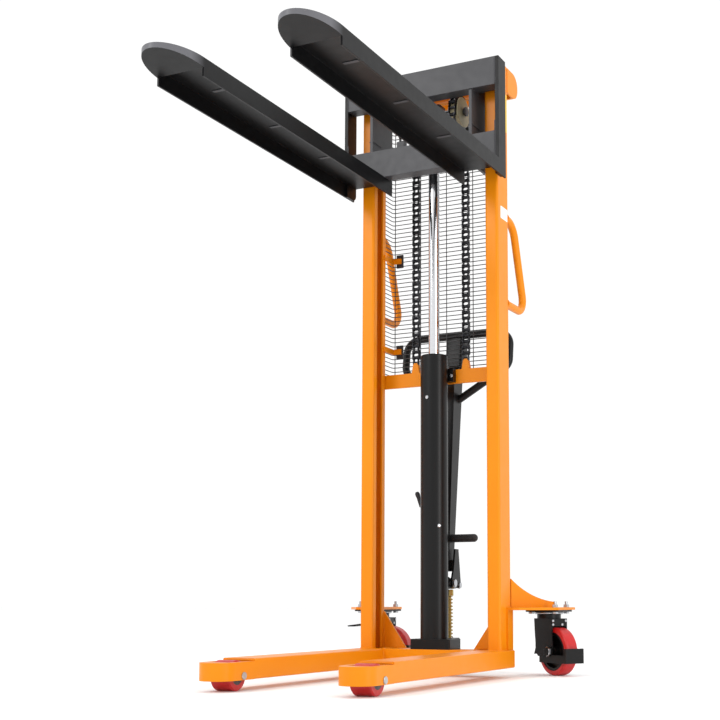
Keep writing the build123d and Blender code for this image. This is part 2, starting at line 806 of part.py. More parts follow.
def foot_bar():
    """The peg on the right of the column for pumping by foot."""
    z = 435.0
    peg = bar_x(13, (0, 92), lean_y(z), z) + Pos(92, lean_y(z), z) * Sphere(13)
    return peg - column_shape(0)


# ---------------------------------------------------------------- write every node

os.makedirs("parts", exist_ok=True)

save("mast_top_beam", top_beam())
save("chain_crossbar", crossbar())
save("base_crossmember", base_crossmember())
save("mesh_guard", mesh_guard())
save("mesh_tabs", *mesh_tabs(), *[mirror(tab, about=Plane.YZ) for tab in mesh_tabs()])
save("mesh_pads", *mesh_pads(), *[mirror(pad, about=Plane.YZ) for pad in mesh_pads()])
save("cylinder_barrel", *cylinder_barrel(), *cylinder_clamps())
save("cylinder_gland", cylinder_gland())
save("pump_block", pump_block())
save("tiller_pivot_pin", pivot_pin())
save("caster_plates", caster_plate(), mirror(caster_plate(), about=Plane.YZ))
save("caster_bolts", *caster_bolts(), *[mirror(bolt, about=Plane.YZ) for bolt in caster_bolts()])

save("piston_rod", piston_rod())
save("rod_head", rod_head())
save("chain_wheels", *chain_wheels())
save("chain_wraps", *chain_wraps())

save("carriage_top_beam", carriage_beam(carriage_top - beam_height))
save("carriage_lower_beam", lower_beam())
save("roller_axles", *roller_axles())
for level, height in roller_heights.items():
    save(f"guide_rollers_{level}", *guide_rollers(height))

tread, core, axle = load_wheel_parts()
save("load_axles", axle, mirror(axle, about=Plane.YZ))

for side in SIGN:
    save(f"mast_upright_{side}", to_side(upright(), side))
    save(f"leg_{side}", to_side(leg(), side))
    save(f"caster_bracket_{side}", to_side(caster_bracket(), side))
    save(f"side_grip_{side}", to_side(side_grip(), side))
    save(f"chain_fixed_{side}", to_side(chain_strand(chain_y, (lug_top, wheel_z)), side))
    save(f"chain_carriage_{side}", to_side(chain_strand(-chain_y, (carriage_lug_top, wheel_z)), side))
    save(f"roller_plate_{side}", to_side(roller_plate(), side))
    save(f"fork_{side}", to_side(fork(), side))
    save(f"load_tread_{side}", to_side(tread, side))
    save(f"load_core_{side}", to_side(core, side))
    save(f"caster_fork_{side}", place_caster(caster_fork(), side))
    save(f"caster_guard_{side}", place_caster(caster_guard(), side))
    save(f"caster_core_{side}", place_caster(caster_core(), side))
    save(f"caster_tyre_{side}", place_caster(caster_tyre(), side))
    save(f"caster_brake_{side}", place_caster(caster_brake(side), side))

save("tiller_column", tiller_column())
save("tiller_loop", tiller_loop())
save("control_box", control_box())
save("foot_bar", foot_bar())
save("push_roller", push_roller())
save("pump_plunger", pump_plunger())
save("pump_spring", pump_spring())
save("release_lever", release_lever())
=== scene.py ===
import json
import math

import bmesh
import bpy
from mathutils import Matrix, Vector


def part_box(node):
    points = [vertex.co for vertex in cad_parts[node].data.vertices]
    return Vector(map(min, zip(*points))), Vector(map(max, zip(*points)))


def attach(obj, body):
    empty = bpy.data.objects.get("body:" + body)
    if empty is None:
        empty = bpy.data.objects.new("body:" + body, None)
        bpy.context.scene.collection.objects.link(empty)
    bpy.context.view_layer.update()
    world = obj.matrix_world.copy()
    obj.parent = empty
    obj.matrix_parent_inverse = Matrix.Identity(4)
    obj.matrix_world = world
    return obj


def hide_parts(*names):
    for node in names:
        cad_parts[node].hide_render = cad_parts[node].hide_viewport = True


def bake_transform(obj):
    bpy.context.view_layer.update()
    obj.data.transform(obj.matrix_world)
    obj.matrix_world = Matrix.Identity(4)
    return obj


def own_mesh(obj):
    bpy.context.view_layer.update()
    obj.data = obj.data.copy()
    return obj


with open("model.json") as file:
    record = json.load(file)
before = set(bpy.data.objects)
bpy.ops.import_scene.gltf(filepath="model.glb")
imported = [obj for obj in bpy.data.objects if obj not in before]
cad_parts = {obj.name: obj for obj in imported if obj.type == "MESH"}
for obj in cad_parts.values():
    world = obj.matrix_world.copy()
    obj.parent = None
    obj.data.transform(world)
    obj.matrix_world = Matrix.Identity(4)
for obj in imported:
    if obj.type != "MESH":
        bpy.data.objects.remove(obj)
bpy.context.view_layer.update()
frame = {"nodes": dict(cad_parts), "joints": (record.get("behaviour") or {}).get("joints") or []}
cad = frame["nodes"]

# ---------------------------------------------------------------- camera
# A long lens held low, a little above the ankles, looking slightly up at the raised forks from the
# front right. The shift does most of the lifting, so the mast's edges lean only a little.

eye = bpy.data.cameras.new("studio_camera")
eye.lens = 61.5
eye.shift_x = -0.0933
eye.shift_y = 0.1422
viewer = bpy.data.objects.new("studio_camera", eye)
viewer.location = (1.6762, -3.0675, 0.2351)
viewer.rotation_euler = (math.radians(96.4), 0, math.radians(25.7))
bpy.context.scene.collection.objects.link(viewer)
bpy.context.scene.camera = viewer

# ---------------------------------------------------------------- studio
# A matt white floor under an even white sky. A tall soft box at the right draws one upright band
# down the tank, a small one at the front left gives the front faces their sheen, and one is above.


def linear(code):
    """An sRGB hex colour as linear RGBA."""
    parts = [int(code[i : i + 2], 16) / 255 for i in (1, 3, 5)]
    return [c / 12.92 if c <= 0.04045 else ((c + 0.055) / 1.055) ** 2.4 for c in parts] + [1.0]


def add(tree, kind, inputs=None, **settings):
    """Adds a node. An input given as a socket is linked, and any other value is set."""
    made = tree.nodes.new(kind)
    for name, value in settings.items():
        setattr(made, name, value)
    for key, value in (inputs or {}).items():
        if isinstance(value, bpy.types.NodeSocket):
            tree.links.new(value, made.inputs[key])
        else:
            made.inputs[key].default_value = value
    return made


def surface(name):
    """A new material, with its tree, its shader and the place of a point on the piece."""
    made = bpy.data.materials.new(name)
    made.use_nodes = True
    tree = made.node_tree
    place = add(tree, "ShaderNodeTexCoord").outputs["Object"]
    return made, tree, tree.nodes["Principled BSDF"], place


sky = bpy.data.worlds.new("white_sky")
sky.use_nodes = True
sky.node_tree.nodes["Background"].inputs["Color"].default_value = (1, 1, 1, 1)
sky.node_tree.nodes["Background"].inputs["Strength"].default_value = 1.05
bpy.context.scene.world = sky
bpy.context.scene.view_settings.view_transform = "Standard"

paper, tree, shader, place = surface("white_paper")
shader.inputs["Base Color"].default_value = linear("#FAFAFA")
shader.inputs["Roughness"].default_value = 0.9
floor_mesh = bpy.data.meshes.new("floor")
floor_half = 30.0
floor_mesh.from_pydata(
    [(x * floor_half, y * floor_half, 0) for x, y in ((-1, -1), (1, -1), (1, 1), (-1, 1))],
    [],
    [(0, 1, 2, 3)],
)
floor_mesh.materials.append(paper)
floor = bpy.data.objects.new("floor", floor_mesh)
bpy.context.scene.collection.objects.link(floor)

for name, spot, width, height, power in (
    ("soft_box_right", (3.8, -0.8, 1.3), 0.55, 2.6, 46),
    ("soft_box_left", (-2.1, -3.9, 3.5), 1.5, 1.5, 80),
    ("soft_box_above", (0.2, 0.4, 4.6), 3.0, 3.0, 45),
):
    lamp = bpy.data.lights.new(name, "AREA")
    lamp.shape = "RECTANGLE"
    lamp.size = width
    lamp.size_y = height
    lamp.energy = power
    holder = bpy.data.objects.new(name, lamp)
    holder.location = spot
    aim = Vector((0, 0.3, 1.0)) - Vector(spot)
    holder.rotation_euler = aim.to_track_quat("-Z", "Y").to_euler()
    bpy.context.scene.collection.objects.link(holder)

# ---------------------------------------------------------------- welded frame
# Folded and rolled steel, MIG welded into one frame and powder coated in semi-gloss orange. The coat
# levels into a faint orange peel, and gathers softly on every edge.


def powder_coat(name, light, dark, rough, peel, sheen):
    """Baked polyester powder on steel: even colour, soft edges, and a peel of a few mm."""
    made, tree, shader, place = surface(name)
    cloud = add(tree, "ShaderNodeTexNoise", {"Vector": place, "Scale": 5.0, "Detail": 3.0})
    tone = add(tree, "ShaderNodeMix", {0: cloud.outputs["Fac"]}, data_type="RGBA")
    tone.inputs[6].default_value = linear(light)
    tone.inputs[7].default_value = linear(dark)
    rub = add(tree, "ShaderNodeTexNoise", {"Vector": place, "Scale": 40.0, "Detail": 5.0})
    gloss = add(tree, "ShaderNodeMapRange", {"Value": rub.outputs["Fac"]})
    gloss.inputs["To Min"].default_value = rough - 0.06
    gloss.inputs["To Max"].default_value = rough + 0.08
    # real orange peel is about 1 mm across, drawn here at about 3 mm so that it shows
    skin = add(tree, "ShaderNodeTexNoise", {"Vector": place, "Scale": 330.0, "Detail": 1.0})
    edge = add(tree, "ShaderNodeBevel", {"Radius": 0.0018}, samples=4)
    relief = add(
        tree,
        "ShaderNodeBump",
        {"Strength": peel, "Distance": 0.00006, "Height": skin.outputs["Fac"]},
    )
    tree.links.new(edge.outputs["Normal"], relief.inputs["Normal"])
    tree.links.new(tone.outputs[2], shader.inputs["Base Color"])
    tree.links.new(gloss.outputs["Result"], shader.inputs["Roughness"])
    tree.links.new(relief.outputs["Normal"], shader.inputs["Normal"])
    shader.inputs["IOR"].default_value = 1.5
    shader.inputs["Specular IOR Level"].default_value = sheen
    return made


def finish_nodes(finish, *names):
    """Gives CAD nodes their finish."""
    for name in names:
        cad[name].data.materials.clear()
        cad[name].data.materials.append(finish)


SIDES = ("left", "right")
SIGN = {"left": -1, "right": 1}
orange = powder_coat("orange_powder_coat", "#E78A08", "#DF7F04", 0.34, 0.5, 0.2)
finish_nodes(orange, "mast_top_beam", "chain_crossbar", "base_crossmember", "mesh_tabs")
for side in SIDES:
    finish_nodes(orange, f"mast_upright_{side}", f"leg_{side}")
    finish_nodes(orange, f"caster_bracket_{side}", f"side_grip_{side}")

# ---------------------------------------------------------------- welds
# MIG beads laid by hand where plates and tubes meet, under the same coat. Each bead is a row of
# overlapping ripples.


def new_tree(name, sizes):
    """An empty tree with a geometry input and named inputs, and the sockets they give."""
    tree = bpy.data.node_groups.new(name, "GeometryNodeTree")
    face = tree.interface
    face.new_socket("Geometry", in_out="INPUT", socket_type="NodeSocketGeometry")
    for label, kind in sizes.items():
        face.new_socket(label, in_out="INPUT", socket_type=f"NodeSocket{kind}")
    face.new_socket("Finish", in_out="INPUT", socket_type="NodeSocketMaterial")
    face.new_socket("Geometry", in_out="OUTPUT", socket_type="NodeSocketGeometry")
    return tree, tree.nodes.new("NodeGroupInput").outputs


def close_tree(tree, geometry, given):
    """Ends a tree: real geometry, in its finish."""
    real = add(tree, "GeometryNodeRealizeInstances", {"Geometry": geometry})
    coated = add(
        tree,
        "GeometryNodeSetMaterial",
        {"Geometry": real.outputs["Geometry"], "Material": given["Finish"]},
    )
    last = tree.nodes.new("NodeGroupOutput")
    tree.links.new(coated.outputs["Geometry"], last.inputs[0])


def grow(name, base, tree, inputs, body):
    """Runs a tree on a base mesh, keeps the result as a plain piece, and puts it on a body."""
    source = bpy.data.objects.new(name + "_base", base)
    bpy.context.scene.collection.objects.link(source)
    modifier = source.modifiers.new("grow", "NODES")
    modifier.node_group = tree
    for item in tree.interface.items_tree:
        if item.in_out == "INPUT" and item.name in inputs:
            modifier[item.identifier] = inputs[item.name]
    depsgraph = bpy.context.evaluated_depsgraph_get()
    mesh = bpy.data.meshes.new_from_object(source.evaluated_get(depsgraph))
    bpy.data.objects.remove(source)
    mesh.name = name
    piece = bpy.data.objects.new(name, mesh)
    bpy.context.scene.collection.objects.link(piece)
    if body:
        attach(piece, body)
    return piece


def paths(name, runs):
    """A mesh of open or closed lines. A run that ends where it starts is closed."""
    mesh = bpy.data.meshes.new(name)
    points, edges = [], []
    for run in runs:
        first = len(points)
        closed = (Vector(run[0]) - Vector(run[-1])).length < 1e-7
        points += [tuple(p) for p in (run[:-1] if closed else run)]
        count = len(points) - first
        edges += [(first + i, first + i + 1) for i in range(count - 1)]
        if closed:
            edges.append((first + count - 1, first))
    mesh.from_pydata(points, edges, [])
    return mesh


def ring(centre, radius, axis, steps=24):
    """A closed circle about an axis."""
    turn = Vector(axis).to_track_quat("Z", "Y")
    angles = [2 * math.pi * i / steps for i in range(steps + 1)]
    return [
        Vector(centre) + turn @ Vector((radius * math.cos(a), radius * math.sin(a), 0))
        for a in angles
    ]


bead_tree, given = new_tree("weld_bead", {"Ripple Step": "Float", "Bead Radius": "Float"})
line = add(bead_tree, "GeometryNodeMeshToCurve", {"Mesh": given["Geometry"]})
steps = add(
    bead_tree,
    "GeometryNodeResampleCurve",
    {"Curve": line.outputs["Curve"], "Length": given["Ripple Step"]},
    mode="LENGTH",
)
ripple = add(
    bead_tree,
    "GeometryNodeMeshIcoSphere",
    {"Radius": given["Bead Radius"], "Subdivisions": 2},
)
laid = add(
    bead_tree,
    "GeometryNodeInstanceOnPoints",
    {"Points": steps.outputs["Curve"], "Instance": ripple.outputs["Mesh"]},
)
close_tree(bead_tree, laid.outputs["Instances"], given)

mast_low, mast_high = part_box("mast_upright_right")
mast_x = (mast_low.x, mast_high.x)
mast_front, mast_rear = mast_low.y, mast_high.y
mast_y = (mast_front + mast_rear) / 2
leg_low, leg_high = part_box("leg_right")
bar_low, bar_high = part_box("chain_crossbar")
corner = 0.008
shelf_faces = (0.213, 0.205)
grip_x, grip_heights, grip_ring = 0.231, (1.178, 1.458), 0.0125
seams = []
for sign in SIGN.values():
    foot = mast_low.z
    inner, outer = sign * mast_x[0], sign * mast_x[1]
    seams.append(
        [
            (inner, mast_front + corner, foot),
            (inner + sign * corner, mast_front, foot),
            (outer - sign * corner, mast_front, foot),
            (outer, mast_front + corner, foot),
            (outer, mast_rear - corner, foot),
        ]
    )
    for z in shelf_faces:
        seams.append([(outer, y, z) for y in (mast_y + 0.007, mast_rear - corner)])
    for z in grip_heights:
        seams.append(ring((sign * grip_x, mast_rear, z), grip_ring, (0, 1, 0)))
    for z in (bar_low.z, bar_high.z):
        seams.append([(sign * x, mast_rear + 0.0005, z) for x in (0.209, 0.229)])
    inside = sign * leg_low.x
    seams.append([(inside, mast_front, z) for z in (leg_low.z + 0.004, leg_high.z - 0.004)])
    seams.append([(inside, y, leg_high.z) for y in (mast_front, mast_rear - 0.008)])
    seams.append([(sign * 0.199, mast_rear - 0.0075, z) for z in (0.086, 0.196)])
    seams.append([(sign * x, leg_low.y + 0.140, leg_high.z - 0.0045) for x in (0.163, 0.251)])
weld_sizes = {"Ripple Step": 0.0032, "Bead Radius": 0.0031, "Finish": orange}
grow("frame_welds", paths("frame_welds", seams), bead_tree, weld_sizes, "frame")

# ---------------------------------------------------------------- labels on the mast
# Two blank vinyl strips on the right upright: a white plate and a yellow safety tape. Printed
# vinyl is about 0.1 mm thick; these are 0.4 mm so that their edge shows.


def plain_vinyl(name, code):
    made, tree, shader, place = surface(name)
    grime = add(tree, "ShaderNodeTexNoise", {"Vector": place, "Scale": 60.0, "Detail": 4.0})
    wear = add(tree, "ShaderNodeMapRange", {"Value": grime.outputs["Fac"]})
    wear.inputs["To Min"].default_value = 0.28
    wear.inputs["To Max"].default_value = 0.45
    shader.inputs["Base Color"].default_value = linear(code)
    tree.links.new(wear.outputs["Result"], shader.inputs["Roughness"])
    return made


def sticker(name, y, z, code):
    """A rounded rectangle of vinyl on the right upright's outer side."""
    corner, thick = 0.004, 0.0004
    outline = []
    for cy, cz, start in (
        (y[1] - corner, z[1] - corner, 0),
        (y[0] + corner, z[1] - corner, 90),
        (y[0] + corner, z[0] + corner, 180),
        (y[1] - corner, z[0] + corner, 270),
    ):
        for step in range(5):
            a = math.radians(start + step * 22.5)
            outline.append((cy + corner * math.cos(a), cz + corner * math.sin(a)))
    build = bmesh.new()
    face = build.faces.new([build.verts.new((mast_x[1], py, pz)) for py, pz in outline])
    made = bmesh.ops.extrude_face_region(build, geom=[face])["geom"]
    raised = [v for v in made if isinstance(v, bmesh.types.BMVert)]
    bmesh.ops.translate(build, verts=raised, vec=(thick, 0, 0))
    bmesh.ops.recalc_face_normals(build, faces=build.faces)
    mesh = bpy.data.meshes.new(name)
    build.to_mesh(mesh)
    build.free()
    mesh.materials.append(plain_vinyl(name + "_vinyl", code))
    piece = bpy.data.objects.new(name, mesh)
    bpy.context.scene.collection.objects.link(piece)
    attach(piece, "frame")


sticker("blank_plate", (mast_y - 0.021, mast_y + 0.036), (1.441, 1.481), "#EDEDE8")
sticker("safety_tape", (mast_y + 0.014, mast_y + 0.036), (1.738, 1.865), "#F4C21C")

# ---------------------------------------------------------------- mesh guard
# Drawn wire, 3 mm thick, spot welded to five uprights, bent forward at both sides to meet the
# mast, and dip coated dark. It keeps hands out of the chains.


def coated_wire():
    made, tree, shader, place = surface("dip_coated_wire")
    spread = add(tree, "ShaderNodeTexNoise", {"Vector": place, "Scale": 90.0, "Detail": 3.0})
    tone = add(tree, "ShaderNodeMix", {0: spread.outputs["Fac"]}, data_type="RGBA")
    tone.inputs[6].default_value = linear("#3A3A3C")
    tone.inputs[7].default_value = linear("#262628")
    tree.links.new(tone.outputs[2], shader.inputs["Base Color"])
    shader.inputs["Roughness"].default_value = 0.42
    return made


wire_tree, given = new_tree(
    "repeated_wire", {"Wire Radius": "Float", "Count": "Int", "Step": "Vector"}
)
line = add(wire_tree, "GeometryNodeMeshToCurve", {"Mesh": given["Geometry"]})
section = add(
    wire_tree, "GeometryNodeCurvePrimitiveCircle", {"Resolution": 8, "Radius": given["Wire Radius"]}
)
drawn = add(
    wire_tree,
    "GeometryNodeCurveToMesh",
    {"Curve": line.outputs["Curve"], "Profile Curve": section.outputs["Curve"], "Fill Caps": True},
)
places = add(wire_tree, "GeometryNodeMeshLine", {"Count": given["Count"], "Offset": given["Step"]})
panel = add(
    wire_tree,
    "GeometryNodeInstanceOnPoints",
    {"Points": places.outputs["Mesh"], "Instance": drawn.outputs["Mesh"]},
)
close_tree(wire_tree, panel.outputs["Instances"], given)

guard_low, guard_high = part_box("mesh_guard")
wire_radius = 0.0015
half = guard_high.x - wire_radius
back = guard_high.y - wire_radius
bend = 0.010
first_row = guard_low.z + 0.004
row_step = 0.0145
rows = round((guard_high.z - guard_low.z - 0.008) / row_step) + 1
u_shape = [(-half, mast_rear, first_row), (-half, back - bend, first_row)]
for centre_x, start in ((-half + bend, 180), (half - bend, 90)):
    for step in range(1 if start == 180 else 0, 6):
        a = math.radians(start - step * 18)
        u_shape.append(
            (centre_x + bend * math.cos(a), back - bend + bend * math.sin(a), first_row)
        )
u_shape.append((half, mast_rear, first_row))
wire = coated_wire()
guard_rows = grow(
    "guard_rows",
    paths("guard_row", [u_shape]),
    wire_tree,
    {"Wire Radius": wire_radius, "Count": rows, "Step": (0, 0, row_step), "Finish": wire},
    "frame",
)
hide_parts("mesh_guard")
post_y = back - 2 * wire_radius
stiffener = [(-half + bend, post_y, guard_low.z), (-half + bend, post_y, guard_high.z)]
grow(
    "guard_posts",
    paths("guard_post", [stiffener]),
    wire_tree,
    {
        "Wire Radius": wire_radius,
        "Count": 5,
        "Step": ((half - bend) / 2, 0, 0),
        "Finish": wire,
    },
    "frame",
)

# ---------------------------------------------------------------- forks and carriage
# Pressed channel forks, two cross-beams and side plates, all in one black powder coat. The beams
# and plates carry a lighter grey copy of it as painted sheen, and the forks a darker copy as painted
# shade. The fine texture of both coats scatters most of the reflection, so the undersides stay dark
# while faces turned to a light turn grey.

# painted sheen: this lighter grey base stands in for the front light's gloss on the carriage faces
sheen_painted_black = powder_coat("black_coat_painted_sheen", "#434346", "#39393B", 0.38, 0.8, 0.25)


def paint_tip_highlight(made, tip_y):
    """Paints a light grey highlight into the black coat on the upright faces near the fork tips."""
    tree = made.node_tree
    coords = tree.nodes["Texture Coordinate"]
    shader = tree.nodes["Principled BSDF"]
    coat = shader.inputs["Base Color"].links[0].from_socket
    spot = add(tree, "ShaderNodeSeparateXYZ", {"Vector": coords.outputs["Object"]})
    near = add(tree, "ShaderNodeMapRange", {"Value": spot.outputs["Y"]})
    for label, value in (("From Min", tip_y + 0.08), ("From Max", tip_y + 0.13)):
        near.inputs[label].default_value = value
    near.inputs["To Min"].default_value = 1.0
    near.inputs["To Max"].default_value = 0.0
    face = add(tree, "ShaderNodeSeparateXYZ", {"Vector": coords.outputs["Normal"]})
    level = add(tree, "ShaderNodeMath", {0: face.outputs["Z"]}, operation="ABSOLUTE")
    steep = {0: level.outputs["Value"], 1: 0.4}
    upright = add(tree, "ShaderNodeMath", steep, operation="LESS_THAN")
    highlight_amount = add(
        tree,
        "ShaderNodeMath",
        {0: near.outputs["Result"], 1: upright.outputs["Value"]},
        operation="MULTIPLY",
    )
    # painted highlight: the coat turns light grey on steep faces close to the tip
    rim_highlight = add(tree, "ShaderNodeMix", {0: highlight_amount.outputs["Value"], 6: coat}, data_type="RGBA")
    rim_highlight.inputs[7].default_value = linear("#66666A")
    tree.links.new(rim_highlight.outputs[2], shader.inputs["Base Color"])


fork_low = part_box("fork_right")[0]
# painted shade: the forks' base is darkened below the coat's own colour so their undersides stay
# dark
shaded_fork_coat = powder_coat("fork_coat_painted_shade", "#0C0C0D", "#080809", 0.38, 0.8, 0.2)
paint_tip_highlight(shaded_fork_coat, fork_low.y)
finish_nodes(sheen_painted_black, "carriage_top_beam", "carriage_lower_beam")
for side in SIDES:
    finish_nodes(shaded_fork_coat, f"fork_{side}")
    finish_nodes(sheen_painted_black, f"roller_plate_{side}")

beam_low, beam_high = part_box("carriage_lower_beam")
top_low, top_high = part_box("carriage_top_beam")
seams = []
for sign in SIGN.values():
    side_in = sign * (beam_high.x - 0.0003)
    for low, high in ((beam_low, beam_high), (top_low, top_high)):
        seams.append([(side_in, low.y + 0.001, z) for z in (low.z + 0.005, high.z - 0.005)])
    for x in (0.172, 0.182):
        for z in (beam_high.z, top_low.z):
            seams.append([(sign * x, y, z) for y in (beam_low.y + 0.006, beam_high.y - 0.003)])
    seams.append(
        [(sign * x, beam_low.y + 0.0005, beam_low.z) for x in (fork_low.x + 0.006, 0.258)]
    )
weld_sizes = {"Ripple Step": 0.0032, "Bead Radius": 0.0029, "Finish": sheen_painted_black}
grow(
    "carriage_welds",
    paths("carriage_welds", seams),
    bead_tree,
    weld_sizes,
    "carriage",
)

# ---------------------------------------------------------------- fork tabs
# Three short tabs are welded flat under each fork's top plate, along its middle.

# top of the 6 mm top plate; each fork's own box ends higher, at its heel
tab_size = (0.045, 0.012, 0.002)
fork_top, fork_plate = 1.604, 0.006
for side in SIDES:
    low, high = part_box(f"fork_{side}")
    build = bmesh.new()
    for y in (low.y + 0.30, low.y + 0.58, low.y + 0.86):
        made = bmesh.ops.create_cube(build, size=1.0)["verts"]
        bmesh.ops.scale(build, verts=made, vec=tab_size)
        under = fork_top - fork_plate - tab_size[2] / 2
        bmesh.ops.translate(build, verts=made, vec=((low.x + high.x) / 2, y, under))
    bmesh.ops.bevel(build, geom=build.edges[:], offset=0.0006, segments=2, affect="EDGES")
    mesh = bpy.data.meshes.new(f"fork_tabs_{side}")
    build.to_mesh(mesh)
    build.free()
    mesh.materials.append(sheen_painted_black)
    tabs = bpy.data.objects.new(f"fork_tabs_{side}", mesh)
    bpy.context.scene.collection.objects.link(tabs)
    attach(tabs, "carriage")

# ---------------------------------------------------------------- cylinder and rod
# A seamless tube drawn over the pump, sprayed in black enamel, with a ground and hard chromed rod.
# The enamel is satin and slightly cloudy, and the chrome shows fine rings from grinding.


def black_enamel():
    made, tree, shader, place = surface("black_enamel")
    cloud = add(tree, "ShaderNodeTexNoise", {"Vector": place, "Scale": 9.0, "Detail": 4.0})
    tone = add(tree, "ShaderNodeMix", {0: cloud.outputs["Fac"]}, data_type="RGBA")
    tone.inputs[6].default_value = linear("#0D0D0E")
    tone.inputs[7].default_value = linear("#090909")
    gloss = add(tree, "ShaderNodeMapRange", {"Value": cloud.outputs["Fac"]})
    gloss.inputs["To Min"].default_value = 0.28
    gloss.inputs["To Max"].default_value = 0.42
    # spray texture is finer than 1 mm, drawn at about 4 mm so that it shows
    mist = add(tree, "ShaderNodeTexNoise", {"Vector": place, "Scale": 250.0, "Detail": 1.0})
    edge = add(tree, "ShaderNodeBevel", {"Radius": 0.0012}, samples=4)
    relief = add(
        tree,
        "ShaderNodeBump",
        {"Strength": 0.4, "Distance": 0.00006, "Height": mist.outputs["Fac"]},
    )
    tree.links.new(edge.outputs["Normal"], relief.inputs["Normal"])
    tree.links.new(tone.outputs[2], shader.inputs["Base Color"])
    tree.links.new(gloss.outputs["Result"], shader.inputs["Roughness"])
    tree.links.new(relief.outputs["Normal"], shader.inputs["Normal"])
    shader.inputs["Specular IOR Level"].default_value = 0.24
    return made


def plated(name, light, dark, rough, stretch):
    """Bare or plated metal. The tone varies along lines left by grinding or turning."""
    made, tree, shader, place = surface(name)
    run = add(tree, "ShaderNodeMapping", {"Vector": place, "Scale": stretch})
    grain = add(
        tree,
        "ShaderNodeTexNoise",
        {"Vector": run.outputs["Vector"], "Scale": 1.0, "Detail": 4.0},
    )
    tone = add(tree, "ShaderNodeMix", {0: grain.outputs["Fac"]}, data_type="RGBA")
    tone.inputs[6].default_value = linear(light)
    tone.inputs[7].default_value = linear(dark)
    gloss = add(tree, "ShaderNodeMapRange", {"Value": grain.outputs["Fac"]})
    gloss.inputs["To Min"].default_value = rough * 0.8
    gloss.inputs["To Max"].default_value = rough * 1.3
    tree.links.new(tone.outputs[2], shader.inputs["Base Color"])
    tree.links.new(gloss.outputs["Result"], shader.inputs["Roughness"])
    shader.inputs["Metallic"].default_value = 1.0
    return made


enamel = black_enamel()
chrome = plated("ground_hard_chrome", "#E4E5E8", "#CFD0D4", 0.12, (30, 30, 900))
zinc = plated("bright_zinc_plate", "#C9CBCE", "#A9ABAF", 0.32, (120, 120, 120))
dark_steel = plated("oiled_turned_steel", "#5E5F62", "#434447", 0.38, (500, 90, 90))
finish_nodes(enamel, "cylinder_barrel", "cylinder_gland", "pump_block")
finish_nodes(chrome, "piston_rod")
finish_nodes(dark_steel, "rod_head", "roller_axles", "guide_rollers_lower", "guide_rollers_upper")

# ---------------------------------------------------------------- screws
# Zinc plated hexagon and button heads: two fill plugs on the tank, a bolt on each of its saddles,
# axle nuts on the casters, and the hood bolts. Each head stands on its own face.


def head(name, across, height, sides, crown):
    """A screw head along Z on z = 0: a prism with a turned, chamfered top."""
    build = bmesh.new()
    radius = across / 2 / math.cos(math.pi / sides)
    levels = ((radius, 0), (radius, height * 0.75), (radius * crown, height))
    loops_of = [
        [
            build.verts.new(
                (r * math.cos(2 * math.pi * i / sides), r * math.sin(2 * math.pi * i / sides), z)
            )
            for i in range(sides)
        ]
        for r, z in levels
    ]
    for low, high in zip(loops_of, loops_of[1:]):
        for i in range(sides):
            j = (i + 1) % sides
            build.faces.new((low[i], low[j], high[j], high[i]))
    build.faces.new(loops_of[0][::-1])
    build.faces.new(loops_of[-1])
    mesh = bpy.data.meshes.new(name)
    build.to_mesh(mesh)
    build.free()
    made = bpy.data.objects.new(name, mesh)
    bpy.context.scene.collection.objects.link(made)
    return made


def spots(name, pairs):
    """Loose points, each with the direction that its screw faces."""
    mesh = bpy.data.meshes.new(name)
    mesh.from_pydata([tuple(p) for p, _ in pairs], [], [])
    facing = mesh.attributes.new("facing", "FLOAT_VECTOR", "POINT")
    facing.data.foreach_set("vector", [c for _, d in pairs for c in d])
    return mesh


screw_tree, given = new_tree("screws", {"Head": "Object"})
pattern = add(screw_tree, "GeometryNodeObjectInfo", {"Object": given["Head"], "As Instance": True})
facing = add(
    screw_tree, "GeometryNodeInputNamedAttribute", {"Name": "facing"}, data_type="FLOAT_VECTOR"
)
turned = add(
    screw_tree,
    "FunctionNodeAlignRotationToVector",
    {"Vector": facing.outputs["Attribute"]},
    axis="Z",
)
points = add(screw_tree, "GeometryNodeMeshToPoints", {"Mesh": given["Geometry"]})
driven = add(
    screw_tree,
    "GeometryNodeInstanceOnPoints",
    {
        "Points": points.outputs["Points"],
        "Instance": pattern.outputs["Geometry"],
        "Rotation": turned.outputs["Rotation"],
    },
)
close_tree(screw_tree, driven.outputs["Instances"], given)


def screws(name, pairs, pattern_head, finish, body):
    return grow(
        name,
        spots(name, pairs),
        screw_tree,
        {"Head": pattern_head, "Finish": finish},
        body,
    )


plug = head("plug_pattern", 0.011, 0.004, 12, 0.7)
tank_radius = 0.044
plugs = []
for x, z in ((-0.004, 0.879), (0.031, 0.469)):
    out = Vector((x, -math.sqrt(tank_radius**2 - x**2), 0))
    plugs.append((Vector((0, mast_y, z)) + out * 0.995, out.normalized()))
screws("tank_plugs", plugs, plug, zinc, "frame")
# one on the front of each saddle that holds the tank to the crossbar
saddle_front, saddle_z = mast_y + 0.024, bar_low.z + 0.022
saddle_bolts = [((x, saddle_front, saddle_z), (0, -1, 0)) for x in (-0.0498, 0.0498)]
screws("saddle_bolts", saddle_bolts, plug, zinc, "frame")

# ---------------------------------------------------------------- chains
# Two 3/4 inch roller chains: 19 mm pitch, riveted pins, rollers between inner plates, all dark
# and oiled. Each runs from the crossbar, over its wheel, and down to the carriage.


def plate_outline(pitch, high, waist):
    """The figure-eight edge of a link plate, long along Z, in (y, z) pairs."""
    outline = []
    for end in (1, -1):
        for step in range(7):
            a = math.radians((-20 if end > 0 else 160) + step * 220 / 6)
            outline.append((high / 2 * math.cos(a), end * pitch / 2 + high / 2 * math.sin(a)))
        outline.append((-end * waist / 2, 0.0))
    return outline


